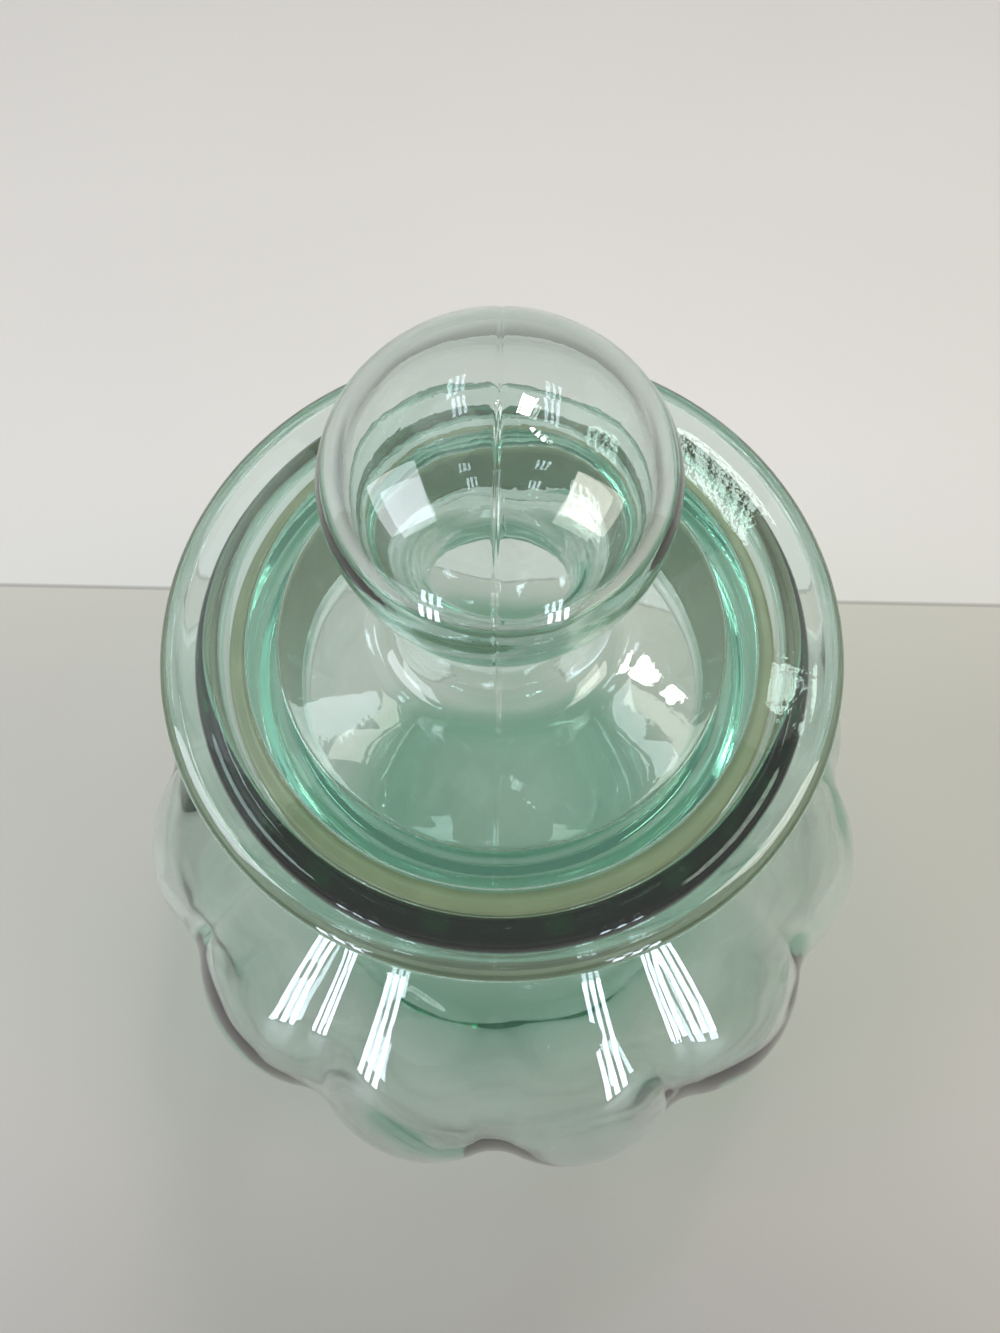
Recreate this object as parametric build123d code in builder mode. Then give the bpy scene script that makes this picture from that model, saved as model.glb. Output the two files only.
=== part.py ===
from build123d import *

import os
from math import copysign, cos, hypot, radians, sin, sqrt

# Glass apothecary jar, in millimetres. +Z is up and the origin is on the table, at the middle of the foot.
# The jar is blown in a mould of round lobes, the lid is one hollow glass piece with a ball for a knob,
# and a soft finned ring on the lid's plug seals the mouth.

# Foot and floor of the jar
foot_radius = 58.0
foot_height = 3.0
foot_ring_width = 11.0
kick_depth = 5.0
kick_flank = 0.75
kick_crown = 0.4
floor_thickness = 5.0
bowl_flat_radius = 36.0
bowl_spread = 30.0
bowl_fullness = 0.6

# Lobed body: heights are counted from the piece below
lobe_count = 12
crest_radius = 98.8
crease_depth = 7.4
crease_round_angle = 3.4
belly_rise = 63.0
shoulder_rise = 104.0
glass_wall = 3.8
foot_fullness = 0.32
foot_flare = 0.55
belly_fullness_below = 0.55
belly_fullness_above = 0.70
neck_sweep = 0.38
crease_fade = 2.5
section_count_below = 6
section_count_above = 9

# Neck and rolled mouth
mouth_bore_radius = 49.0
neck_length = 16.0
bead_height = 9.0
bead_proud = 2.0
bead_roundness = 0.49

# Clearances between glass and glass, glass and seal
seat_clearance = 0.3
fin_clearance = 0.3
sleeve_clearance = 0.3

# Seal ring
seal_length = 17.0
seal_drop = 3.0
sleeve_thickness = 1.5
fin_reach = 1.9
fin_thickness = 1.1
fin_count = 3
lip_thickness = 1.6

# Lid: rim, disc and plug
rim_overhang = 5.2
rim_thickness = 7.0
disc_thickness = 4.5
disc_rise = 2.5
plug_length = 23.0
plug_wall = 4.5
plug_taper = 1.0
underside_fillet = 3.0
seat_fillet = 0.8

# Lid: hollow neck and ball, heights counted from the disc
lid_wall = 3.6
neck_foot_radius = 23.0
waist_radius = 16.0
waist_rise = 13.0
ball_radius = 24.1
ball_rise = 29.8
ball_half_height = 17.6
ball_underside = 0.50
waist_sweep = 0.42
foot_sweep = 0.62
foot_spread = 0.80

# Heights of the stack
belly_height = foot_height + belly_rise
neck_height = belly_height + shoulder_rise
bead_base_height = neck_height + neck_length
mouth_height = bead_base_height + bead_height
floor_height = kick_depth + floor_thickness
seat_height = mouth_height + seat_clearance
rim_top_height = seat_height + rim_thickness
disc_height = rim_top_height + disc_rise
waist_height = disc_height + waist_rise
ball_height = waist_height + ball_rise

# Radii that follow the bore
neck_radius = mouth_bore_radius + glass_wall
bead_radius = neck_radius + bead_proud
rim_radius = bead_radius + rim_overhang
fin_radius = mouth_bore_radius - fin_clearance
sleeve_radius = fin_radius - fin_reach
sleeve_bore_radius = sleeve_radius - sleeve_thickness
plug_radius = sleeve_bore_radius - sleeve_clearance


def rim_point(radius, degrees, height):
    return (radius * cos(radians(degrees)), radius * sin(radians(degrees)), height)


def crease_share(height, lowest):
    """The crease's depth as a share of its depth at the belly: 1 there, 0 at the lowest height and at the neck."""
    end = neck_height if height > belly_height else lowest
    return 1 - abs((height - belly_height) / (end - belly_height)) ** crease_fade


def crease_arc(radius, depth):
    """Radii of a rounded crease, where its arc begins and in its middle, between two lobes of that crest radius.

    A lobe is an arc about a point on its crest's ray, through sharp creases of that depth. It ends a small turn
    before the crease, where an arc about a point on the crease's ray goes on from it with no corner.
    """
    half = radians(180 / lobe_count)
    sharp = radius - depth
    lobe_centre = (radius**2 - sharp**2) / (2 * (radius - sharp * cos(half)))
    turn = half - radians(crease_round_angle)
    begin = lobe_centre * cos(turn) + sqrt((radius - lobe_centre) ** 2 - (lobe_centre * sin(turn)) ** 2)
    along = begin * cos(turn) - lobe_centre
    across = begin * sin(turn)
    reach = lobe_centre * sin(half) / (across * cos(half) - along * sin(half))
    crease_centre = (lobe_centre + reach * along) / cos(half)
    off_ray = begin * sin(radians(crease_round_angle))
    on_ray = begin * cos(radians(crease_round_angle)) - crease_centre
    return begin, crease_centre + copysign(hypot(off_ray, on_ray), on_ray)


def lobed_section(radius, height, depth):
    """A face of lobes that bulge out to the radius, with rounded creases between them. With no depth it is round."""
    step = 360 / lobe_count
    begin, middle = crease_arc(radius, depth)
    # A round section is divided into the same arcs, so that each lobe and crease runs on from section to section.
    arcs = []
    for lobe in range(lobe_count):
        crease = lobe * step
        lobe_start = rim_point(begin, crease + crease_round_angle, height)
        lobe_end = rim_point(begin, crease + step - crease_round_angle, height)
        next_start = rim_point(begin, (lobe + 1) % lobe_count * step + crease_round_angle, height)
        arcs.append(ThreePointArc(lobe_start, rim_point(radius, crease + step / 2, height), lobe_end))
        arcs.append(ThreePointArc(lobe_end, rim_point(middle, crease + step, height), next_start))
    return Face(Wire(arcs))


def outer_sections():
    """Sections of the outside, from the foot along the crest line up to the neck."""
    sections = []
    for line, count in ((crest_below, section_count_below), (crest_above, section_count_above)):
        for number in range(0 if line is crest_below else 1, count + 1):
            place = line @ (number / count)
            depth = crease_depth * crease_share(place.Z, foot_height)
            sections.append(lobed_section(place.X, place.Z, depth))
    return sections


def inner_sections():
    """Sections of the inside, from the bowl line at the floor up to the neck."""
    sections = []
    for number in range(section_count_below + 1):
        place = bowl @ (number / section_count_below)
        depth = crease_depth * crease_share(place.Z, floor_height)
        sections.append(lobed_section(place.X, place.Z, depth))
    for number in range(1, section_count_above + 1):
        place = crest_above @ (number / section_count_above)
        along = crest_above % (number / section_count_above)
        # The inside lies along the normal of the crest line, so the wall is even up to the neck.
        depth = crease_depth * crease_share(place.Z, foot_height)
        sections.append(lobed_section(place.X - glass_wall * along.Z, place.Z + glass_wall * along.X, depth))
    return sections


# The crest line runs out from the foot, upright at the belly, and in again to the upright neck.
crest_below = Bezier(
    (foot_radius, 0, foot_height),
    (foot_radius + foot_flare * (crest_radius - foot_radius), 0, foot_height + foot_fullness * belly_rise),
    (crest_radius, 0, belly_height - belly_fullness_below * belly_rise),
    (crest_radius, 0, belly_height),
)
crest_above = Bezier(
    (crest_radius, 0, belly_height),
    (crest_radius, 0, belly_height + belly_fullness_above * shoulder_rise),
    (neck_radius, 0, neck_height - neck_sweep * shoulder_rise),
    (neck_radius, 0, neck_height),
)
# The inside is flat at the middle of the floor and runs up into the wall like a bowl, where glass gathers.
bowl = Bezier(
    (bowl_flat_radius, 0, floor_height),
    (bowl_flat_radius + bowl_spread, 0, floor_height),
    (crest_radius - glass_wall, 0, belly_height - bowl_fullness * (belly_height - floor_height)),
    (crest_radius - glass_wall, 0, belly_height),
)

with BuildPart() as hollow:
    loft(inner_sections())

with BuildPart() as jar_body:
    loft(outer_sections())
    # Foot: a flat ring to stand on, round outside
    with BuildSketch(Plane.XZ):
        with BuildLine():
            Line((0, foot_height), (0, 0))
            Line((0, 0), (foot_radius - foot_height, 0))
            RadiusArc((foot_radius - foot_height, 0), (foot_radius, foot_height), -foot_height)
            Line((foot_radius, foot_height), (0, foot_height))
        make_face()
    revolve(axis=Axis.Z)
    add(hollow.part, mode=Mode.SUBTRACT)
    # Kick: the hollow pushed up under the foot. The cutter starts below the table, to cut the face cleanly.
    with BuildSketch(Plane.XZ):
        kick_radius = foot_radius - foot_height - foot_ring_width
        with BuildLine():
            Polyline((0, kick_depth), (0, -kick_depth), (kick_radius, -kick_depth), (kick_radius, 0))
            Bezier(
                (kick_radius, 0),
                (kick_radius * kick_flank, kick_depth * kick_flank),
                (kick_radius * kick_crown, kick_depth),
                (0, kick_depth),
            )
        make_face()
    revolve(axis=Axis.Z, mode=Mode.SUBTRACT)
    # Neck and the thick bead rolled over at the mouth
    with BuildSketch(Plane.XZ):
        with Locations((mouth_bore_radius, neck_height)):
            Rectangle(glass_wall, neck_length + bead_height / 2, align=(Align.MIN, Align.MIN))
        with BuildSketch(mode=Mode.PRIVATE) as bead:
            bead_width = bead_radius - mouth_bore_radius
            with Locations((mouth_bore_radius, bead_base_height)):
                Rectangle(bead_width, bead_height, align=(Align.MIN, Align.MIN))
            fillet(bead.vertices().group_by(Axis.Y)[-1], bead_width * bead_roundness)
            fillet(bead.vertices().group_by(Axis.Y)[0].sort_by(Axis.X)[-1], bead_width * bead_roundness)
        add(bead.sketch)
    revolve(axis=Axis.Z)
jar_body.part.label = "jar_body"


# Handle of a curve that runs as a quarter of an ellipse, as a share of its half axis
quarter = 0.5523


def knob_lines(inset):
    """The knob's outline from the top of the ball, over its side and in at the waist, out to the disc."""
    top = (0, ball_height + ball_half_height - inset)
    side = (ball_radius - inset, ball_height)
    waist = (waist_radius - inset, waist_height)
    foot = (neck_foot_radius, disc_height - inset)
    Bezier(
        top,
        (quarter * side[0], top[1]),
        (side[0], ball_height + quarter * (top[1] - ball_height)),
        side,
    )
    Bezier(
        side,
        (side[0], ball_height - ball_underside * ball_rise),
        (waist[0], waist_height + waist_sweep * ball_rise),
        waist,
    )
    Bezier(
        waist,
        (waist[0], waist_height - foot_sweep * (waist_rise + inset)),
        (foot[0] - foot_spread * (foot[0] - waist[0]), foot[1]),
        foot,
    )


with BuildPart() as glass_lid:
    with BuildSketch(Plane.XZ) as lid_profile:
        rim_round = rim_thickness / 2
        plug_tip_height = seat_height - plug_length
        plug_tip_radius = plug_radius - plug_taper
        disc_underside = rim_top_height - disc_thickness
        plug_bore_radius = plug_tip_radius - plug_wall
        with BuildLine():
            knob_lines(0)
            Line((neck_foot_radius, disc_height), (rim_radius - rim_round, rim_top_height))
            ThreePointArc(
                (rim_radius - rim_round, rim_top_height),
                (rim_radius, rim_top_height - rim_round),
                (rim_radius - rim_round, seat_height),
            )
            Line((rim_radius - rim_round, seat_height), (plug_radius, seat_height))
            Line((plug_radius, seat_height), (plug_tip_radius, plug_tip_height + plug_wall / 2))
            ThreePointArc(
                (plug_tip_radius, plug_tip_height + plug_wall / 2),
                (plug_tip_radius - plug_wall / 2, plug_tip_height),
                (plug_bore_radius, plug_tip_height + plug_wall / 2),
            )
            Line((plug_bore_radius, plug_tip_height + plug_wall / 2), (plug_bore_radius, disc_underside))
            Line((plug_bore_radius, disc_underside), (neck_foot_radius, disc_height - lid_wall))
            knob_lines(lid_wall)
            Line(
                (0, ball_height + ball_half_height - lid_wall),
                (0, ball_height + ball_half_height),
            )
        make_face()
        corner = lid_profile.vertices().sort_by_distance((plug_bore_radius, disc_underside))[0]
        fillet(corner, underside_fillet)
        corner = lid_profile.vertices().sort_by_distance((plug_radius, seat_height))[0]
        fillet(corner, seat_fillet)
    revolve(axis=Axis.Z)
glass_lid.part.label = "glass_lid"

with BuildPart() as seal_ring:
    with BuildSketch(Plane.XZ):
        seal_top_height = seat_height - seal_drop
        seal_base_height = seal_top_height - seal_length
        lean = plug_taper / plug_length
        with BuildLine():
            Polyline(
                (sleeve_bore_radius - lean * (seal_length + seal_drop), seal_base_height),
                (sleeve_radius, seal_base_height),
                (sleeve_radius, seal_top_height),
                (sleeve_bore_radius - lean * seal_drop, seal_top_height),
                close=True,
            )
        make_face()
        # Fins that wipe the bore, round at their tips, with a thicker lip on top
        fin_pitch = (seal_length - lip_thickness) / fin_count
        for number in range(fin_count + 1):
            thickness = lip_thickness if number == fin_count else fin_thickness
            with Locations((sleeve_radius, seal_base_height + thickness / 2 + number * fin_pitch)):
                SlotOverall(2 * fin_reach, thickness)
    revolve(axis=Axis.Z)
seal_ring.part.label = "seal_ring"

os.makedirs("parts", exist_ok=True)
export_step(jar_body.part, "parts/jar_body.step")
export_step(glass_lid.part, "parts/glass_lid.step")
export_step(seal_ring.part, "parts/seal_ring.step")
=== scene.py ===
"""A blown-glass apothecary jar with a lobed body, a hollow ball lid and a finned seal ring. Lengths are in metres."""
import math

import bpy
import numpy as np
from mathutils import Matrix, Vector


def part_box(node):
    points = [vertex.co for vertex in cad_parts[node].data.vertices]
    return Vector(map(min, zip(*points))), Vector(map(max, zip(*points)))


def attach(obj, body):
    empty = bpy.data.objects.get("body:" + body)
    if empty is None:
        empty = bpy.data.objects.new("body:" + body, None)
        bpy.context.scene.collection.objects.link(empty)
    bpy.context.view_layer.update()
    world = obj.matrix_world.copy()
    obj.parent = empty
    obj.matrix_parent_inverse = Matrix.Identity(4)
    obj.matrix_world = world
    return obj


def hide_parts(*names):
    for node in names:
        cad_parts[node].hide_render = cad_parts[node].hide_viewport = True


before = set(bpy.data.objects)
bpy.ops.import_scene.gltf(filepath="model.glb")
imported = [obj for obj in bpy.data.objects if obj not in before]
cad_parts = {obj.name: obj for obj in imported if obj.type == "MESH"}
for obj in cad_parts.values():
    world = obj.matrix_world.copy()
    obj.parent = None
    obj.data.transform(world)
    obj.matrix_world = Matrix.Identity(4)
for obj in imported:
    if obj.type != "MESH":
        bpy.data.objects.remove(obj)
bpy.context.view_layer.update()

MM = 0.001

# The frame gives where the pieces end.
_, body_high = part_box("jar_body")
lid_low, lid_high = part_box("glass_lid")
seal_low, seal_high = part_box("seal_ring")
MOUTH_HEIGHT = body_high[2]
RIM_RADIUS = lid_high[0]
PLUG_TIP = lid_low[2]

# Jar: foot, kick, lobes, bowl of the inner floor, neck and rolled mouth. Angles are in degrees.
FOOT_RADIUS = 58 * MM
FOOT_HEIGHT = 3 * MM
FOOT_RING_WIDTH = 11 * MM
FOOT_EASE = 8 * MM
FOOT_FLARE = 0.55
FOOT_FULLNESS = 0.32
KICK_DEPTH = 5 * MM
KICK_FLANK = 0.80
KICK_CROWN = 0.5
FLOOR_HEIGHT = 10 * MM
LOBES = 12
CREST_RADIUS = 98.8 * MM
CREASE_DEPTH = 7.4 * MM
CREASE_ROUND_ANGLE = 3.4
CREASE_FADE = 2.5
BELLY_RISE = 63 * MM
SHOULDER_RISE = 104 * MM
BELLY_FULLNESS_BELOW = 0.55
BELLY_FULLNESS_ABOVE = 0.70
NECK_SWEEP = 0.38
BOWL_FLAT_RADIUS = 36 * MM
BOWL_SPREAD = 30 * MM
BOWL_FULLNESS = 0.6
WALL = 3.8 * MM
MOUTH_BORE = 49 * MM
BEAD_HEIGHT = 9 * MM
BEAD_PROUD = 2 * MM
BEAD_ROUNDNESS = 0.49
BEAD_NECK_GAP = 0.5 * MM
BELLY_HEIGHT = FOOT_HEIGHT + BELLY_RISE
NECK_HEIGHT = BELLY_HEIGHT + SHOULDER_RISE
NECK_RADIUS = MOUTH_BORE + WALL
BEAD_RADIUS = NECK_RADIUS + BEAD_PROUD

# Lid: rim, disc, plug, the hollow knob and the mould seam
SEAT_GAP = 0.3 * MM
SEAT_HEIGHT = MOUTH_HEIGHT + SEAT_GAP
RIM_THICKNESS = 7 * MM
DISC_THICKNESS = 4.5 * MM
DISC_RISE = 2.5 * MM
PLUG_RADIUS = 45 * MM
PLUG_TAPER = 1 * MM
PLUG_WALL = 4.5 * MM
LID_WALL = 3.6 * MM
NECK_FOOT_RADIUS = 23 * MM
WAIST_RADIUS = 16 * MM
WAIST_RISE = 13 * MM
BALL_RADIUS = 24.1 * MM
BALL_RISE = 29.8 * MM
BALL_HALF_HEIGHT = 17.6 * MM
BALL_UNDERSIDE = 0.50
WAIST_SWEEP = 0.42
KNOB_FOOT_SWEEP = 0.62
KNOB_FOOT_SPREAD = 0.80
ELLIPSE_QUARTER = 0.5523
RIM_TOP = SEAT_HEIGHT + RIM_THICKNESS
DISC_TOP = RIM_TOP + DISC_RISE
WAIST_HEIGHT = DISC_TOP + WAIST_RISE
BALL_HEIGHT = WAIST_HEIGHT + BALL_RISE
SEAM_PROUD = 0.14 * MM
SEAM_WIDTH = 0.32 * MM
SEAM_START = 1 * MM
SEAM_BLEND = 2 * MM
AXIS_BLEND = 4 * MM

# Seal: a sleeve on the plug with round-tipped fins and a thicker lip at the top, in patches of two tones
FIN_REACH = 1.9 * MM
FIN_THICKNESS = 1.1 * MM
FIN_COUNT = 3
LIP_THICKNESS = 1.6 * MM
SLEEVE_THICKNESS = 1.5 * MM
SEAL_PATCH = 9 * MM
SEAL_DARK = "#7E7A60"
SEAL_PALE = "#A39B7C"

# Rings and steps round the axis of each mesh, how soft its corners are, and the seam's extra steps in degrees
JAR_RINGS = 220
JAR_STEPS = 36 * LOBES
JAR_SOFTNESS = 0.8 * MM
JAR_TURN_LENGTH = 3 * MM
LID_RINGS = 300
LID_STEPS = 264
LID_SOFTNESS = 0.45 * MM
LID_TURN_LENGTH = 1.5 * MM
LINE_STEP = 0.15 * MM
SEAM_EXTRA_STEPS = 9
SEAM_FIRST_STEP = 0.18
SEAM_STEP_GROWTH = 1.35
SEAM_CLEARANCE = 0.12
SEAL_STEPS = 240

# How far the skins of the glass drift from the drawn line, over a long and a short wavelength
JAR_WAVES = 45 * MM, 14 * MM
JAR_INNER_DRIFT = 0.45 * MM, 0.05 * MM
JAR_OUTER_DRIFT = 0.12 * MM, 0.02 * MM
JAR_OUTER_INSET = 0.2 * MM
JAR_SEED = 11
JAR_STILL_HEIGHT = 12 * MM
JAR_STILL_BLEND = 15 * MM
LID_WAVES = 24 * MM, 8 * MM
LID_INNER_DRIFT = 0.12 * MM, 0.015 * MM
LID_OUTER_DRIFT = 0.05 * MM, 0.006 * MM
LID_SEED = 21
LID_STILL_EDGE = 6 * MM
LID_STILL_BLEND = 8 * MM
LID_STILL_DEPTH = 6 * MM

# What the green glass keeps of white light as it passes, how fast it takes the rest, what a lamp's light keeps
# at each skin on its way to the table, and the dimples of the lid's hammered skin
GLASS_TINT = "#5FD2B6"
GLASS_DENSITY = 28
LIT_TINT = "#F0F6F3"
GLASS_IOR = 1.52
HAMMER_SIZE = 1.6 * MM
HAMMER_DEPTH = 0.006 * MM

# Camera of the photograph: lengths in rim radii from the middle of the rim, angles in degrees, yaw in radians
FOCAL_PIXELS = 1000
PHOTO_HEIGHT = 1333
CAMERA_DISTANCE = 2.953
CAMERA_AZIMUTH = 1.8
CAMERA_ELEVATION = 66.3
CAMERA_AIM = -0.303
CAMERA_YAW = -0.0018
CAMERA_ROLL = -0.9

# The floor: a table whose far edge passes behind the jar, and the wall behind that edge
FLOOR_REACH = 3.0
FLOOR_GAP = 0.3 * MM
TABLE_EDGE = 102 * MM
TABLE_EDGE_SLOPE = -0.004
TABLE_EDGE_BLUR = 0.4 * MM
TABLE_NEAR = -150 * MM
TABLE_FAR = 110 * MM
# The near and far table colours hold painted light: darker near, lighter far where the satin mirrors the bright wall.
TABLE_NEAR_TONE_AND_PAINTED_SHADE = "#9A9892"
TABLE_FAR_TONE_AND_PAINTED_SHEEN = "#BEBBB3"
WALL_COLOUR = "#D0CECA"
JOINT_CORE = 0.3 * MM
JOINT_REACH = 1.3 * MM
JOINT_SHADE = 0.68
DIM_SIDE_START = 270 * MM
DIM_SIDE_END = 600 * MM
DIM_BACK_START = 550 * MM
DIM_BACK_END = 350 * MM
DIM_SHADE = 0.50
PAINT_PATCH = 1000 / 6 * MM
PAINT_UNEVENNESS = 0.03

# name, azimuth and elevation in degrees, distance, panes side by side, size of a pane, power of a pane, colour
LAMPS = (
    ("left_softbox", -168, 40, 1.1, 1, (0.55, 0.60), 7.5, "#F2F5FF"),
    ("right_softbox", -14, 42, 1.1, 1, (0.45, 0.60), 5.5, "#FFF8EE"),
    ("back_left_ceiling", 132, 60, 1.1, 1, (0.42, 0.50), 0.55, "#F6F7FF"),
    ("back_right_ceiling", 44, 54, 1.1, 1, (0.30, 0.50), 0.35, "#FFFAF2"),
    ("back_window", 72, 58, 1.0, 5, (0.012, 0.16), 0.45, "#FFFFFF"),
    ("ceiling_strip", 49, 67, 1.0, 3, (0.030, 0.035), 0.12, "#FFFFFF"),
    ("low_left_window", -124, -11, 0.44, 3, (0.018, 0.12), 0.12, "#E6EDFF"),
    ("low_right_window", -60, -11, 0.44, 3, (0.018, 0.12), 0.12, "#E6EDFF"),
)
LAMP_AIM = np.array([0, 0, 0.15])
PANE_PITCH = 1.7
ROOM_COLOUR = "#F4F2EE"
ROOM_LOW = -0.1
ROOM_HIGH = 0.9
ROOM_LIGHT_LOW = 0.60
ROOM_LIGHT_HIGH = 0.40


def bezier(start, first, second, end, count):
    """Cubic curve by its Bernstein sum, at even steps, without its last point."""
    t = np.linspace(0, 1, count, endpoint=False)[:, None]
    start, first, second, end = (np.array(p, float) for p in (start, first, second, end))
    return (
        (1 - t) ** 3 * start
        + 3 * (1 - t) ** 2 * t * first
        + 3 * (1 - t) * t**2 * second
        + t**3 * end
    )


def straight(start, end, count):
    """Points on a line at even steps, without its last point."""
    t = np.linspace(0, 1, count, endpoint=False)[:, None]
    return np.array(start, float) * (1 - t) + np.array(end, float) * t


def arc(centre, radii, first, last, count):
    """Points on an ellipse about a centre, between two angles in degrees, without its last point."""
    angle = np.radians(np.linspace(first, last, count, endpoint=False))
    return np.stack([centre[0] + radii[0] * np.cos(angle), centre[1] + radii[1] * np.sin(angle)], 1)


def resample(line, count, softness, turn_length):
    """The line at count points, rounded by a Gaussian of that softness, closer together where it turns.

    Spacing follows the sum of length and of turning, where half a radian counts as much as the turn length.
    """
    length = np.concatenate([[0], np.cumsum(np.hypot(*np.diff(line[:, :2], axis=0).T))])
    even = np.arange(0, length[-1], LINE_STEP)
    fine = np.stack([np.interp(even, length, column) for column in line.T], 1)
    reach = int(4 * softness / LINE_STEP) + 1
    kernel = np.exp(-0.5 * (np.arange(-reach, reach + 1) * LINE_STEP / softness) ** 2)
    kernel /= kernel.sum()
    # Both ends lie on the axis: heights mirror there and radii change sign.
    sign = np.array([-1.0] + [1.0] * (fine.shape[1] - 1))
    padded = np.concatenate([fine[reach:0:-1] * sign, fine, fine[-2 : -reach - 2 : -1] * sign])
    soft = np.stack([np.convolve(column, kernel, "valid") for column in padded.T], 1)
    along = np.diff(soft[:, :2], axis=0)
    heading = np.unwrap(np.arctan2(along[:, 1], along[:, 0]))
    turn = np.abs(np.gradient(heading))
    weight = np.concatenate([[0], np.cumsum(np.hypot(*along.T) + 2 * turn_length * turn)])
    places = np.interp(np.linspace(0, weight[-1], count), weight, np.arange(len(weight)))
    out = np.stack([np.interp(places, np.arange(len(soft)), column) for column in soft.T], 1)
    out[[0, -1], 0] = 0
    return out


def normals_of(line):
    """Unit normals of a line of (radius, height) points, to the right of its run."""
    along = np.gradient(line[:, :2], axis=0)
    along /= np.hypot(*along.T)[:, None]
    return np.stack([along[:, 1], -along[:, 0]], 1)


def ripple(points, wavelength, seed, waves=9):
    """A smooth random field of about one in size: the sum of sine waves in random directions, over its root."""
    rng = np.random.default_rng(seed)
    direction = rng.normal(size=(waves, 3))
    direction /= np.linalg.norm(direction, axis=1)[:, None]
    pace = 2 * math.pi / (wavelength * rng.uniform(0.7, 1.5, waves))
    phase = rng.uniform(0, 2 * math.pi, waves)
    total = np.zeros(points.shape[:-1])
    for k in range(waves):
        total += np.sin(points @ direction[k] * pace[k] + phase[k])
    return total / math.sqrt(waves)


def mesh_object(name, vertices, faces):
    """A smooth mesh object at the origin. faces is a list of arrays of vertex numbers, one row a face."""
    mesh = bpy.data.meshes.new(name)
    mesh.vertices.add(len(vertices))
    mesh.vertices.foreach_set("co", np.ascontiguousarray(vertices, np.float32).ravel())
    corners = np.concatenate([part.ravel() for part in faces]).astype(np.int32)
    sizes = np.concatenate([np.full(len(part), part.shape[1]) for part in faces])
    starts = np.concatenate([[0], np.cumsum(sizes)[:-1]]).astype(np.int32)
    mesh.loops.add(len(corners))
    mesh.loops.foreach_set("vertex_index", corners)
    mesh.polygons.add(len(sizes))
    mesh.polygons.foreach_set("loop_start", starts)
    mesh.update(calc_edges=True)
    mesh.validate()
    mesh.shade_smooth()
    obj = bpy.data.objects.new(name, mesh)
    bpy.context.scene.collection.objects.link(obj)
    return obj


def turned_shell(radius, height, angles):
    """A closed surface of rings, each (angle) round the axis at its own radius and height.

    radius and height are grids of ring by angle. The first and the last ring stand for points on the axis.
    """
    rings, count = radius.shape
    grid = np.stack([radius * np.cos(angles), radius * np.sin(angles), height], 2)[1:-1]
    vertices = np.concatenate([[[0, 0, height[0].mean()]], grid.reshape(-1, 3), [[0, 0, height[-1].mean()]]])
    ring = 1 + np.arange(rings - 2)[:, None] * count + np.arange(count)[None, :]
    here, there = ring[:-1], ring[1:]
    quads = np.stack([here, there, np.roll(there, -1, 1), np.roll(here, -1, 1)], 2).reshape(-1, 4)
    first = np.stack([np.zeros(count, int), ring[0], np.roll(ring[0], -1)], 1)
    last = np.stack([np.full(count, len(vertices) - 1), np.roll(ring[-1], -1), ring[-1]], 1)
    return vertices, [quads, first, last]


def lobed(crest, depth, angles):
    """Radius at each height and angle of a section of lobes with rounded creases, the first crease at angle 0.

    A lobe is an arc about a point on its crest's ray, through sharp creases of that depth. It ends a small turn
    before the crease, where an arc about a point on the crease's ray goes on from it with no corner.
    """
    half = math.pi / LOBES
    rounding = math.radians(CREASE_ROUND_ANGLE)
    turn = half - rounding
    crest, depth = crest[:, None], np.maximum(depth[:, None], 1e-7)
    sharp = crest - depth
    lobe_centre = (crest**2 - sharp**2) / (2 * (crest - sharp * math.cos(half)))
    reach = crest - lobe_centre
    begin = lobe_centre * math.cos(turn) + np.sqrt(reach**2 - (lobe_centre * math.sin(turn)) ** 2)
    along, across = begin * math.cos(turn) - lobe_centre, begin * math.sin(turn)
    share = lobe_centre * math.sin(half) / (across * math.cos(half) - along * math.sin(half))
    crease_centre = (lobe_centre + share * along) / math.cos(half)
    off_ray, on_ray = begin * math.sin(rounding), begin * math.cos(rounding) - crease_centre
    bend = np.hypot(off_ray, on_ray)
    from_crease = np.abs((angles / (2 * half) + 0.5) % 1 - 0.5) * 2 * half
    from_crest = half - from_crease
    lobe = lobe_centre * np.cos(from_crest) + np.sqrt(reach**2 - (lobe_centre * np.sin(from_crest)) ** 2)
    inside = np.maximum(bend**2 - (crease_centre * np.sin(from_crease)) ** 2, 0)
    crease = crease_centre * np.cos(from_crease) + np.sign(on_ray) * np.sqrt(inside)
    return np.where(from_crease < rounding, crease, lobe)


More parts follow.
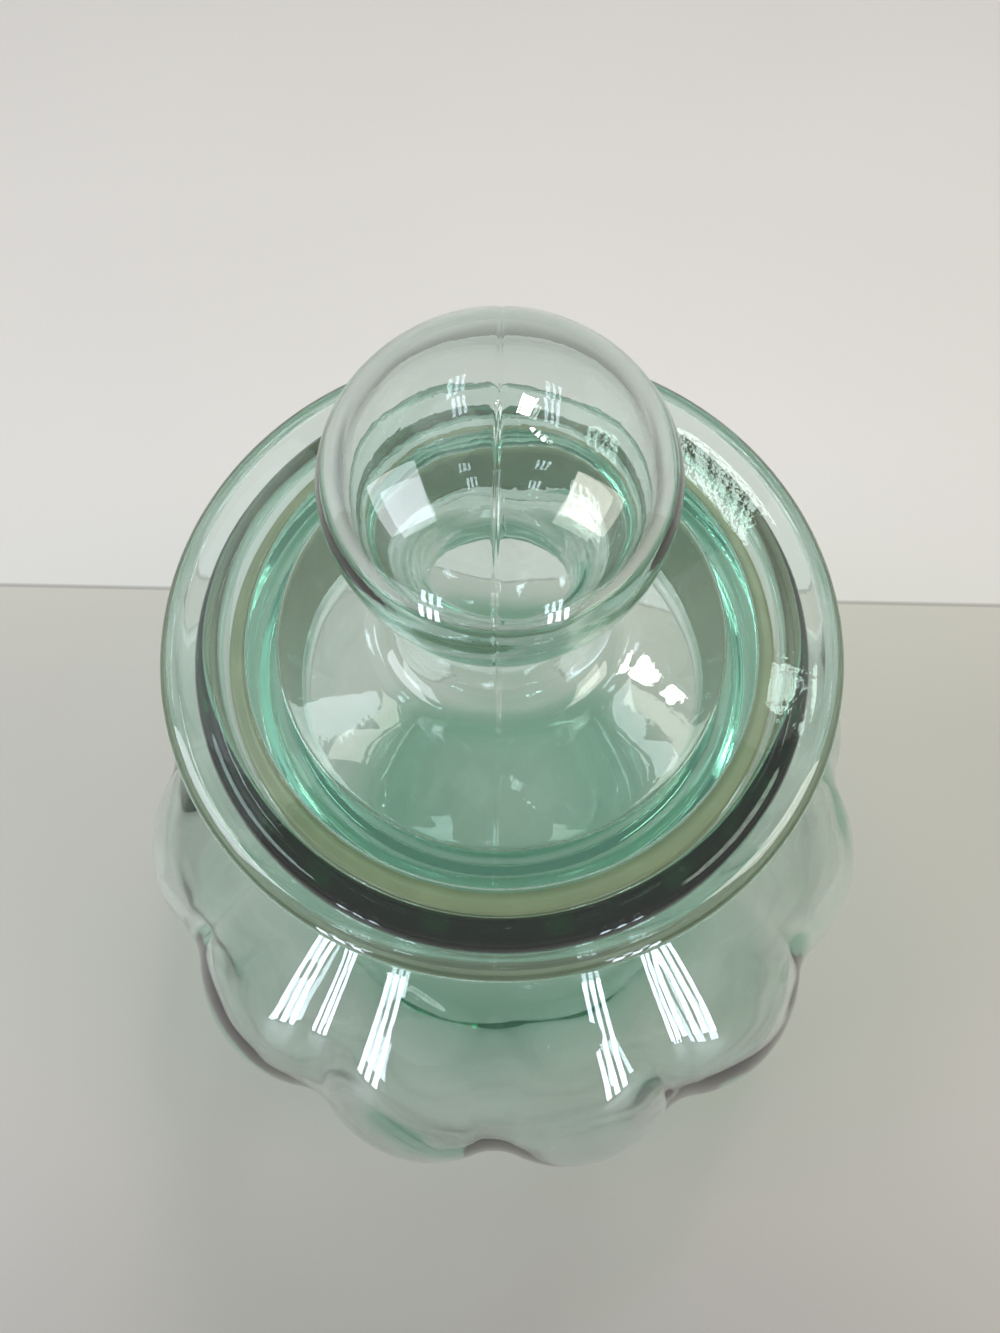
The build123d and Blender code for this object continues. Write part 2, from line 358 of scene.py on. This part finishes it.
def jar_profile():
    """(radius, height, crease depth) from the floor inside, up the wall, over the mouth and down to the foot.

    Below and above the widest ring the lobes' crest is a cubic, upright at that ring, and the inner skin follows it
    at the wall's thickness. The creases fade with a power of the distance from that ring.
    """
    below = bezier(
        (FOOT_RADIUS, FOOT_HEIGHT),
        (FOOT_RADIUS + FOOT_FLARE * (CREST_RADIUS - FOOT_RADIUS), FOOT_HEIGHT + FOOT_FULLNESS * BELLY_RISE),
        (CREST_RADIUS, BELLY_HEIGHT - BELLY_FULLNESS_BELOW * BELLY_RISE),
        (CREST_RADIUS, BELLY_HEIGHT),
        160,
    )
    above = bezier(
        (CREST_RADIUS, BELLY_HEIGHT),
        (CREST_RADIUS, BELLY_HEIGHT + BELLY_FULLNESS_ABOVE * SHOULDER_RISE),
        (NECK_RADIUS, NECK_HEIGHT - NECK_SWEEP * SHOULDER_RISE),
        (NECK_RADIUS, NECK_HEIGHT),
        200,
    )
    crest = np.concatenate([below, above, [[NECK_RADIUS, NECK_HEIGHT]]])
    end = np.where(crest[:, 1] > BELLY_HEIGHT, NECK_HEIGHT, FOOT_HEIGHT)
    depth = CREASE_DEPTH * (1 - np.abs((crest[:, 1] - BELLY_HEIGHT) / (end - BELLY_HEIGHT)) ** CREASE_FADE)
    outside = np.column_stack([crest, depth])
    bowl = bezier(
        (BOWL_FLAT_RADIUS, FLOOR_HEIGHT),
        (BOWL_FLAT_RADIUS + BOWL_SPREAD, FLOOR_HEIGHT),
        (CREST_RADIUS - WALL, BELLY_HEIGHT - BOWL_FULLNESS * (BELLY_HEIGHT - FLOOR_HEIGHT)),
        (CREST_RADIUS - WALL, BELLY_HEIGHT),
        160,
    )
    fade = 1 - np.abs((bowl[:, 1] - BELLY_HEIGHT) / (FLOOR_HEIGHT - BELLY_HEIGHT)) ** CREASE_FADE
    upper = crest[:, 1] > BELLY_HEIGHT
    inside = np.concatenate(
        [
            np.column_stack([bowl, CREASE_DEPTH * fade]),
            np.column_stack([crest - WALL * normals_of(crest), depth])[upper],
        ]
    )
    inside[-1, 0] = MOUTH_BORE
    half_bead = BEAD_ROUNDNESS * (BEAD_RADIUS - MOUTH_BORE)
    round_bead = (half_bead, half_bead)
    bead_top = MOUTH_HEIGHT - half_bead
    bead_foot = MOUTH_HEIGHT - BEAD_HEIGHT
    bead = np.concatenate(
        [
            straight((MOUTH_BORE, NECK_HEIGHT), (MOUTH_BORE, bead_top), 30),
            arc((MOUTH_BORE + half_bead, bead_top), round_bead, 180, 90, 14),
            arc((BEAD_RADIUS - half_bead, bead_top), round_bead, 90, 0, 14),
            arc((BEAD_RADIUS - half_bead, bead_foot + half_bead), round_bead, 0, -50, 10),
            straight((NECK_RADIUS, bead_foot - BEAD_NECK_GAP), (NECK_RADIUS, NECK_HEIGHT), 20),
        ]
    )
    kick_radius = FOOT_RADIUS - FOOT_HEIGHT - FOOT_RING_WIDTH
    foot = np.concatenate(
        [
            arc((FOOT_RADIUS - FOOT_EASE, FOOT_HEIGHT), (FOOT_EASE, FOOT_HEIGHT), 0, -90, 12),
            straight((FOOT_RADIUS - FOOT_EASE, 0), (kick_radius, 0), 8),
            bezier(
                (kick_radius, 0),
                (KICK_FLANK * kick_radius, 0),
                (KICK_CROWN * kick_radius, KICK_DEPTH),
                (0, KICK_DEPTH),
                30,
            ),
            [[0, KICK_DEPTH]],
        ]
    )
    floor = straight((0, FLOOR_HEIGHT), (BOWL_FLAT_RADIUS, FLOOR_HEIGHT), 20)
    floor, bead, foot = (np.column_stack([line, np.zeros(len(line))]) for line in (floor, bead, foot))
    return np.concatenate([floor, inside, bead, outside[::-1], foot])


def skin_drift(place, inner, waves, inner_drift, outer_drift, seed):
    """How far each point of a skin stands off its drawn line: for each wavelength a random field times its drift.

    inner says which rings are on the inner skin.
    """
    total = np.zeros(place.shape[:-1])
    for number, (wave, within, without) in enumerate(zip(waves, inner_drift, outer_drift)):
        total += np.where(inner[:, None], within, without) * ripple(place, wave, seed + number)
    return total


def jar_glass():
    """The jar's one shell, from its inner floor over the mouth to the kick, lobed by the profile's crease depth."""
    profile = resample(jar_profile(), JAR_RINGS, JAR_SOFTNESS, JAR_TURN_LENGTH)
    angles = np.linspace(0, 2 * math.pi, JAR_STEPS, endpoint=False)
    radius = lobed(np.maximum(profile[:, 0], 0), profile[:, 2], angles)
    radius = np.where(profile[:, :1] > 1e-6, radius, 0)
    height = np.repeat(profile[:, 1:2], len(angles), 1)
    inner = np.arange(len(profile)) < np.argmax(profile[:, 1])
    place = np.stack([radius * np.cos(angles), radius * np.sin(angles), height], 2)
    # Blown glass: the inner skin drifts in and out slowly, and the outer keeps to the mould.
    drift = skin_drift(place, inner, JAR_WAVES, JAR_INNER_DRIFT, JAR_OUTER_DRIFT, JAR_SEED)
    # The outer skin drifts inwards only, so the jar keeps its size.
    drift += np.where(inner[:, None], 0, JAR_OUTER_INSET)
    normal = normals_of(profile)
    # The foot and the mouth stay as drawn, where the jar stands and the lid sits.
    loose = np.clip((height - JAR_STILL_HEIGHT) / JAR_STILL_BLEND, 0, 1)
    loose = loose * np.clip((NECK_HEIGHT - height) / JAR_STILL_BLEND, 0, 1)
    radius = radius + loose * drift * normal[:, :1]
    return mesh_object("jar_glass", *turned_shell(radius, height, angles))


def knob_line(inset):
    """(radius, height) of the knob from the top of the ball in at the waist and out to the disc.

    The ball's top is a quarter of an ellipse. Its underside and the foot of the waist are cubics that start upright.
    """
    top = (0, BALL_HEIGHT + BALL_HALF_HEIGHT - inset)
    side = (BALL_RADIUS - inset, BALL_HEIGHT)
    waist = (WAIST_RADIUS - inset, WAIST_HEIGHT)
    foot = (NECK_FOOT_RADIUS, DISC_TOP - inset)
    shoulder = BALL_HEIGHT + ELLIPSE_QUARTER * (top[1] - BALL_HEIGHT)
    return np.concatenate(
        [
            bezier(top, (ELLIPSE_QUARTER * side[0], top[1]), (side[0], shoulder), side, 60),
            bezier(
                side,
                (side[0], BALL_HEIGHT - BALL_UNDERSIDE * BALL_RISE),
                (waist[0], WAIST_HEIGHT + WAIST_SWEEP * BALL_RISE),
                waist,
                60,
            ),
            bezier(
                waist,
                (waist[0], WAIST_HEIGHT - KNOB_FOOT_SWEEP * (WAIST_RISE + inset)),
                (foot[0] - KNOB_FOOT_SPREAD * (foot[0] - waist[0]), foot[1]),
                foot,
                40,
            ),
        ]
    )


def lid_profile():
    """(radius, height) of the lid from the top of the ball over the disc, the rim and the plug, and back inside.

    The outer and the inner knob line are joined by straight runs, a half-round rim and a half-round plug tip.
    """
    half_rim = RIM_THICKNESS / 2
    half_wall = PLUG_WALL / 2
    tip_radius = PLUG_RADIUS - PLUG_TAPER
    bore = tip_radius - PLUG_WALL
    underside = RIM_TOP - DISC_THICKNESS
    return np.concatenate(
        [
            knob_line(0),
            straight((NECK_FOOT_RADIUS, DISC_TOP), (RIM_RADIUS - half_rim, RIM_TOP), 40),
            arc((RIM_RADIUS - half_rim, SEAT_HEIGHT + half_rim), (half_rim, half_rim), 90, -90, 24),
            straight((RIM_RADIUS - half_rim, SEAT_HEIGHT), (PLUG_RADIUS, SEAT_HEIGHT), 16),
            straight((PLUG_RADIUS, SEAT_HEIGHT), (tip_radius, PLUG_TIP + half_wall), 30),
            arc((tip_radius - half_wall, PLUG_TIP + half_wall), (half_wall, half_wall), 0, -180, 20),
            straight((bore, PLUG_TIP + half_wall), (bore, underside), 30),
            straight((bore, underside), (NECK_FOOT_RADIUS, DISC_TOP - LID_WALL), 30),
            knob_line(LID_WALL)[::-1],
        ]
    )


def seam_angles():
    """Angles round the axis, with more of them near the mould seam at the front and the back.

    From each seam the extra angles go out as a power of their number. Even angles that all but touch them are left
    out.
    """
    even = np.linspace(0, 2 * math.pi, LID_STEPS, endpoint=False) + math.pi / 2
    near = np.radians(SEAM_FIRST_STEP * np.arange(1, SEAM_EXTRA_STEPS + 1) ** SEAM_STEP_GROWTH)
    seams = np.concatenate([seam + side * near for seam in (math.pi / 2, 1.5 * math.pi) for side in (-1, 1)])
    clear = np.min(np.abs((even[:, None] - seams[None, :] + math.pi) % (2 * math.pi) - math.pi), axis=1)
    kept = even[clear > math.radians(SEAM_CLEARANCE)]
    return np.sort(np.concatenate([kept, seams]) % (2 * math.pi))


def lid_glass():
    """The lid's one shell: its profile turned about the axis, a little uneven, with the mould seam standing proud.

    The seam is a bell curve across the plane through the axis from front to back, on the outer skin alone.
    """
    profile = resample(lid_profile(), LID_RINGS, LID_SOFTNESS, LID_TURN_LENGTH)
    angles = seam_angles()
    outer = np.arange(len(profile)) < np.argmin(profile[:, 1])
    normal = normals_of(profile)
    radius = np.repeat(profile[:, :1], len(angles), 1)
    height = np.repeat(profile[:, 1:2], len(angles), 1)
    place = np.stack([radius * np.cos(angles), radius * np.sin(angles), height], 2)
    across = radius * np.cos(angles)
    seam = SEAM_PROUD * np.exp(-((across / SEAM_WIDTH) ** 2)) * outer[:, None]
    seam = seam * np.clip((height - SEAT_HEIGHT - SEAM_START) / SEAM_BLEND, 0, 1)
    drift = skin_drift(place, ~outer, LID_WAVES, LID_INNER_DRIFT, LID_OUTER_DRIFT, LID_SEED)
    # The seat, the rim's edge and the plug keep their size.
    loose = np.clip((RIM_RADIUS - LID_STILL_EDGE - radius) / LID_STILL_BLEND, 0, 1)
    loose = loose * np.clip((height - RIM_TOP + LID_STILL_DEPTH) / LID_STILL_DEPTH, 0, 1)
    shift = drift * loose + seam
    on_axis = np.clip(profile[:, :1] / AXIS_BLEND, 0, 1)
    radius = np.where(profile[:, :1] > 0, radius + shift * normal[:, :1] * on_axis, 0)
    height = height + shift * normal[:, 1:2] * np.where(profile[:, :1] > 0, 1, 0)
    return mesh_object("lid_glass", *turned_shell(radius, height, angles))


def linear(code):
    """Scene-linear colour of an sRGB hex code."""
    values = [int(code[k : k + 2], 16) / 255 for k in (1, 3, 5)]
    return tuple(v / 12.92 if v <= 0.04045 else ((v + 0.055) / 1.055) ** 2.4 for v in values) + (1.0,)


def node(tree, kind, links=(), **settings):
    """Adds a node. links are (own socket, other socket). settings are properties, or values of sockets by name."""
    made = tree.nodes.new(kind)
    for name, value in settings.items():
        if hasattr(made, name):
            setattr(made, name, value)
        else:
            made.inputs[name.replace("_", " ")].default_value = value
    for own, other in links:
        tree.links.new(other, made.inputs[own])
    return made


def new_material(name):
    """An empty node material and its tree."""
    material = bpy.data.materials.new(name)
    material.use_nodes = True
    material.node_tree.nodes.clear()
    return material, material.node_tree


def blown_glass(name, hammered):
    """Soda-lime glass melted from cullet: clear and bright at a glance, green where the light's path is long.

    The tint is the glass's own absorption. Lamps shine through it on to what stands behind. Where it is hammered,
    a fine orange-peel skin breaks up what it mirrors.
    """
    material, tree = new_material(name)
    out = node(tree, "ShaderNodeOutputMaterial")
    glass = node(tree, "ShaderNodeBsdfPrincipled", Roughness=0.0, IOR=GLASS_IOR)
    if hammered:
        spot = node(tree, "ShaderNodeTexCoord")
        hammer = node(
            tree,
            "ShaderNodeTexNoise",
            [("Vector", spot.outputs["Object"])],
            Scale=1 / HAMMER_SIZE,
            Detail=2.0,
            Roughness=0.5,
        )
        bump = node(tree, "ShaderNodeBump", [("Height", hammer.outputs["Fac"])], Strength=1.0, Distance=HAMMER_DEPTH)
        tree.links.new(bump.outputs["Normal"], glass.inputs["Normal"])
    glass.inputs["Transmission Weight"].default_value = 1.0
    glass.inputs["Base Color"].default_value = (1, 1, 1, 1)
    through = node(tree, "ShaderNodeBsdfTransparent", Color=linear(LIT_TINT))
    path = node(tree, "ShaderNodeLightPath")
    either = node(
        tree,
        "ShaderNodeMath",
        [(0, path.outputs["Is Shadow Ray"]), (1, path.outputs["Is Diffuse Ray"])],
        operation="MAXIMUM",
    )
    mix = node(
        tree,
        "ShaderNodeMixShader",
        [(0, either.outputs[0]), (1, glass.outputs[0]), (2, through.outputs[0])],
    )
    inside = node(tree, "ShaderNodeVolumeAbsorption", Color=linear(GLASS_TINT), Density=GLASS_DENSITY)
    tree.links.new(mix.outputs[0], out.inputs["Surface"])
    tree.links.new(inside.outputs[0], out.inputs["Volume"])
    return material


def table_paint():
    """Satin lacquer on the table and matt emulsion on the wall: pale warm grey, dull, slightly uneven.

    The table's tone goes evenly from darker near to lighter far, painted light that stands for the bright wall
    mirrored in the table's satin. The wall takes over past the slanting line of the table's edge, where a thin dark
    joint lies.
    All of it is scaled by slow clouds and by a painted loss of light far to both sides.
    """
    material, tree = new_material("satin_lacquer_and_matt_emulsion_painted_light")
    out = node(tree, "ShaderNodeOutputMaterial")
    spot = node(tree, "ShaderNodeTexCoord")
    split = node(tree, "ShaderNodeSeparateXYZ", [("Vector", spot.outputs["Object"])])
    across, depth = split.outputs["X"], split.outputs["Y"]
    edge = node(tree, "ShaderNodeMath", [(0, across), (2, depth)], operation="MULTIPLY_ADD")
    edge.inputs[1].default_value = -TABLE_EDGE_SLOPE
    wall = node(
        tree,
        "ShaderNodeMapRange",
        [("Value", edge.outputs[0])],
        From_Min=TABLE_EDGE - TABLE_EDGE_BLUR,
        From_Max=TABLE_EDGE + TABLE_EDGE_BLUR,
    )
    # Painted light: the table lightens from near to far, standing for the bright wall mirrored in its satin.
    far = node(tree, "ShaderNodeMapRange", [("Value", depth)], From_Min=TABLE_NEAR, From_Max=TABLE_FAR)
    table = node(tree, "ShaderNodeMix", [("Factor", far.outputs[0])], data_type="RGBA")
    table.inputs[6].default_value = linear(TABLE_NEAR_TONE_AND_PAINTED_SHADE)
    table.inputs[7].default_value = linear(TABLE_FAR_TONE_AND_PAINTED_SHEEN)
    tone = node(tree, "ShaderNodeMix", [("Factor", wall.outputs[0]), (6, table.outputs[2])], data_type="RGBA")
    tone.inputs[7].default_value = linear(WALL_COLOUR)

    # The glass shows the dimmer floor far to both sides as darker edges.
    aside = node(tree, "ShaderNodeMath", [(0, across)], operation="ABSOLUTE")
    wing = node(
        tree,
        "ShaderNodeMapRange",
        [("Value", aside.outputs[0])],
        interpolation_type="SMOOTHSTEP",
        From_Min=DIM_SIDE_START,
        From_Max=DIM_SIDE_END,
    )
    front = node(
        tree,
        "ShaderNodeMapRange",
        [("Value", depth)],
        interpolation_type="SMOOTHSTEP",
        From_Min=DIM_BACK_START,
        From_Max=DIM_BACK_END,
    )
    dim = node(tree, "ShaderNodeMath", [(0, wing.outputs[0]), (1, front.outputs[0])], operation="MULTIPLY")
    pool = node(tree, "ShaderNodeMapRange", [("Value", dim.outputs[0])], To_Min=1.0, To_Max=DIM_SHADE)

    cloud = node(tree, "ShaderNodeTexNoise", [("Vector", spot.outputs["Object"])], Scale=1 / PAINT_PATCH, Detail=3.0)
    shade = node(
        tree,
        "ShaderNodeMapRange",
        [("Value", cloud.outputs["Fac"])],
        To_Min=1 - PAINT_UNEVENNESS,
        To_Max=1 + PAINT_UNEVENNESS,
    )

    from_edge = node(tree, "ShaderNodeMath", [(0, edge.outputs[0])], operation="SUBTRACT")
    from_edge.inputs[1].default_value = TABLE_EDGE
    beside = node(tree, "ShaderNodeMath", [(0, from_edge.outputs[0])], operation="ABSOLUTE")
    joint = node(
        tree,
        "ShaderNodeMapRange",
        [("Value", beside.outputs[0])],
        interpolation_type="SMOOTHSTEP",
        From_Min=JOINT_CORE,
        From_Max=JOINT_REACH,
        To_Min=JOINT_SHADE,
        To_Max=1.0,
    )
    dull = node(tree, "ShaderNodeMath", [(0, joint.outputs[0]), (1, pool.outputs[0])], operation="MULTIPLY")
    both = node(tree, "ShaderNodeMath", [(0, shade.outputs[0]), (1, dull.outputs[0])], operation="MULTIPLY")
    final = node(tree, "ShaderNodeVectorMath", [(0, tone.outputs[2])], operation="SCALE")
    tree.links.new(both.outputs[0], final.inputs["Scale"])
    paint = node(tree, "ShaderNodeBsdfPrincipled", [("Base Color", final.outputs[0])], Roughness=0.45)
    tree.links.new(paint.outputs[0], out.inputs["Surface"])
    return material


def yellowed_seal():
    """Soft clear plastic, moulded, gone yellow-brown with age: dull, and a little light glows in it."""
    material, tree = new_material("aged_moulded_soft_plastic")
    out = node(tree, "ShaderNodeOutputMaterial")
    spot = node(tree, "ShaderNodeTexCoord")
    cloud = node(tree, "ShaderNodeTexNoise", [("Vector", spot.outputs["Object"])], Scale=1 / SEAL_PATCH, Detail=3.0)
    tone = node(tree, "ShaderNodeMix", [("Factor", cloud.outputs["Fac"])], data_type="RGBA")
    tone.inputs[6].default_value = linear(SEAL_DARK)
    tone.inputs[7].default_value = linear(SEAL_PALE)
    soft = node(tree, "ShaderNodeBsdfPrincipled", [("Base Color", tone.outputs[2])], Roughness=0.38, IOR=1.43)
    soft.inputs["Subsurface Weight"].default_value = 0.25
    soft.inputs["Subsurface Radius"].default_value = (1.0, 0.8, 0.5)
    soft.inputs["Subsurface Scale"].default_value = 2 * MM
    tree.links.new(soft.outputs[0], out.inputs["Surface"])
    return material


def seal_ring():
    """The seal's section turned about the axis: a sleeve on the plug with round-tipped fins."""
    length = seal_high[2] - seal_low[2]
    fin_tip = seal_high[0]
    sleeve = fin_tip - FIN_REACH
    bore = sleeve - SLEEVE_THICKNESS
    lean = PLUG_TAPER / (SEAT_HEIGHT - PLUG_TIP)
    pitch = (length - LIP_THICKNESS) / FIN_COUNT
    outside = []
    for number in range(FIN_COUNT + 1):
        thick = LIP_THICKNESS if number == FIN_COUNT else FIN_THICKNESS
        middle = seal_low[2] + thick / 2 + number * pitch
        outside += [
            straight((sleeve, middle - thick / 2), (fin_tip - thick / 2, middle - thick / 2), 5),
            arc((fin_tip - thick / 2, middle), (thick / 2, thick / 2), -90, 90, 10),
            straight((fin_tip - thick / 2, middle + thick / 2), (sleeve, middle + thick / 2), 5),
        ]
    upper, lower = ((bore - lean * (SEAT_HEIGHT - height), height) for height in (seal_high[2], seal_low[2]))
    back = straight(upper, lower, 12)
    line = np.concatenate(outside + [back])
    angles = np.linspace(0, 2 * math.pi, SEAL_STEPS, endpoint=False)
    grid = np.stack(
        [
            line[:, None, 0] * np.cos(angles),
            line[:, None, 0] * np.sin(angles),
            np.repeat(line[:, 1:], len(angles), 1),
        ],
        2,
    )
    rows, count = grid.shape[:2]
    ring = np.arange(rows * count).reshape(rows, count)
    here, there = ring, np.roll(ring, -1, 0)
    quads = np.stack([here, np.roll(here, -1, 1), np.roll(there, -1, 1), there], 2).reshape(-1, 4)
    return mesh_object("seal_ring_fins", grid.reshape(-1, 3), [quads])


def stage_floor():
    """A wide flat floor under the jar, whose paint changes at the far edge of the table."""
    corners = ((-1, -1), (1, -1), (1, 1), (-1, 1))
    vertices = np.array([(FLOOR_REACH * x, FLOOR_REACH * y, -FLOOR_GAP) for x, y in corners])
    floor = mesh_object("floor", vertices, [np.array([[0, 1, 2, 3]])])
    floor.data.materials.append(table_paint())


def photo_camera():
    """The photograph's camera, from its fit to the lid's rim, in front of the jar and high above it."""
    centre = np.array([0, 0, SEAT_HEIGHT + RIM_THICKNESS / 2])
    angle = math.radians(CAMERA_ELEVATION)
    round_jar = math.radians(CAMERA_AZIMUTH)
    level = math.cos(angle) * np.array([math.sin(round_jar), -math.cos(round_jar), 0])
    spot = centre + RIM_RADIUS * CAMERA_DISTANCE * (level + np.array([0, 0, math.sin(angle)]))
    ahead = centre + np.array([0, 0, CAMERA_AIM * RIM_RADIUS]) - spot
    ahead /= np.linalg.norm(ahead)
    right = np.cross(ahead, [0, 0, 1])
    ahead = ahead + CAMERA_YAW * right / np.linalg.norm(right)
    ahead /= np.linalg.norm(ahead)
    right = np.cross(ahead, [0, 0, 1])
    right /= np.linalg.norm(right)
    up = np.cross(right, ahead)
    roll = math.radians(CAMERA_ROLL)
    right, up = right * math.cos(roll) + up * math.sin(roll), up * math.cos(roll) - right * math.sin(roll)
    data = bpy.data.cameras.new("photo_camera")
    data.sensor_width = 36
    data.lens = FOCAL_PIXELS * data.sensor_width / PHOTO_HEIGHT
    data.clip_start = 0.01
    camera = bpy.data.objects.new("photo_camera", data)
    turn = Matrix([list(row) for row in np.stack([right, up, -ahead], 1)])
    camera.matrix_world = Matrix.Translation(spot.tolist()) @ turn.to_4x4()
    bpy.context.scene.collection.objects.link(camera)
    bpy.context.scene.camera = camera


def soft_lamp(name, spot, size, power, colour):
    """A soft lamp at a spot, facing the jar and out of the camera's sight."""
    data = bpy.data.lights.new(name, "AREA")
    data.shape = "RECTANGLE"
    data.size, data.size_y = size
    data.energy = power
    data.color = linear(colour)[:3]
    lamp = bpy.data.objects.new(name, data)
    lamp.location = spot
    lamp.rotation_euler = (Vector(LAMP_AIM) - Vector(spot)).to_track_quat("-Z", "Y").to_euler()
    lamp.visible_camera = False
    bpy.context.scene.collection.objects.link(lamp)


def studio_light():
    """Soft boxes to both sides, weak panels and a window behind, and two low windows in front.

    Each stands at its azimuth, elevation and distance from the aim. Panes of one window stand side by side.
    """
    for name, azimuth, elevation, distance, panes, pane, power, colour in LAMPS:
        turn, rise = math.radians(azimuth), math.radians(elevation)
        away = np.array([math.cos(turn) * math.cos(rise), math.sin(turn) * math.cos(rise), math.sin(rise)])
        across = np.array([-math.sin(turn), math.cos(turn), 0])
        for number in range(panes):
            shift = (number - (panes - 1) / 2) * pane[0] * PANE_PITCH
            spot = LAMP_AIM + away * distance + across * shift
            soft_lamp(name + "_%d" % number, spot.tolist(), pane, power, colour)


def pale_room():
    """Even light from all round, which goes smoothly from its level low down to a dimmer one overhead."""
    world = bpy.data.worlds.new("pale_room")
    bpy.context.scene.world = world
    world.use_nodes = True
    tree = world.node_tree
    tree.nodes.clear()
    out = node(tree, "ShaderNodeOutputWorld")
    spot = node(tree, "ShaderNodeTexCoord")
    split = node(tree, "ShaderNodeSeparateXYZ", [("Vector", spot.outputs["Generated"])])
    glow = node(
        tree,
        "ShaderNodeMapRange",
        [("Value", split.outputs["Z"])],
        interpolation_type="SMOOTHSTEP",
        From_Min=ROOM_LOW,
        From_Max=ROOM_HIGH,
        To_Min=ROOM_LIGHT_LOW,
        To_Max=ROOM_LIGHT_HIGH,
    )
    room = node(tree, "ShaderNodeBackground", [("Strength", glow.outputs[0])], Color=linear(ROOM_COLOUR))
    tree.links.new(room.outputs[0], out.inputs["Surface"])


# Light passes many skins of glass before it leaves the jar.
scene = bpy.context.scene
scene.view_settings.view_transform = "Standard"
scene.cycles.max_bounces = 48
scene.cycles.transmission_bounces = 48
scene.cycles.glossy_bounces = 12
scene.cycles.transparent_max_bounces = 32

photo_camera()
studio_light()
pale_room()
stage_floor()

jar = jar_glass()
jar.data.materials.append(blown_glass("recycled_blown_glass", hammered=False))
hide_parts("jar_body")
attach(jar, "jar")

lid = lid_glass()
lid.data.materials.append(blown_glass("recycled_blown_glass_hammered", hammered=True))
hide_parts("glass_lid")
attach(lid, "lid")

seal = seal_ring()
seal.data.materials.append(yellowed_seal())
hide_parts("seal_ring")
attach(seal, "seal")
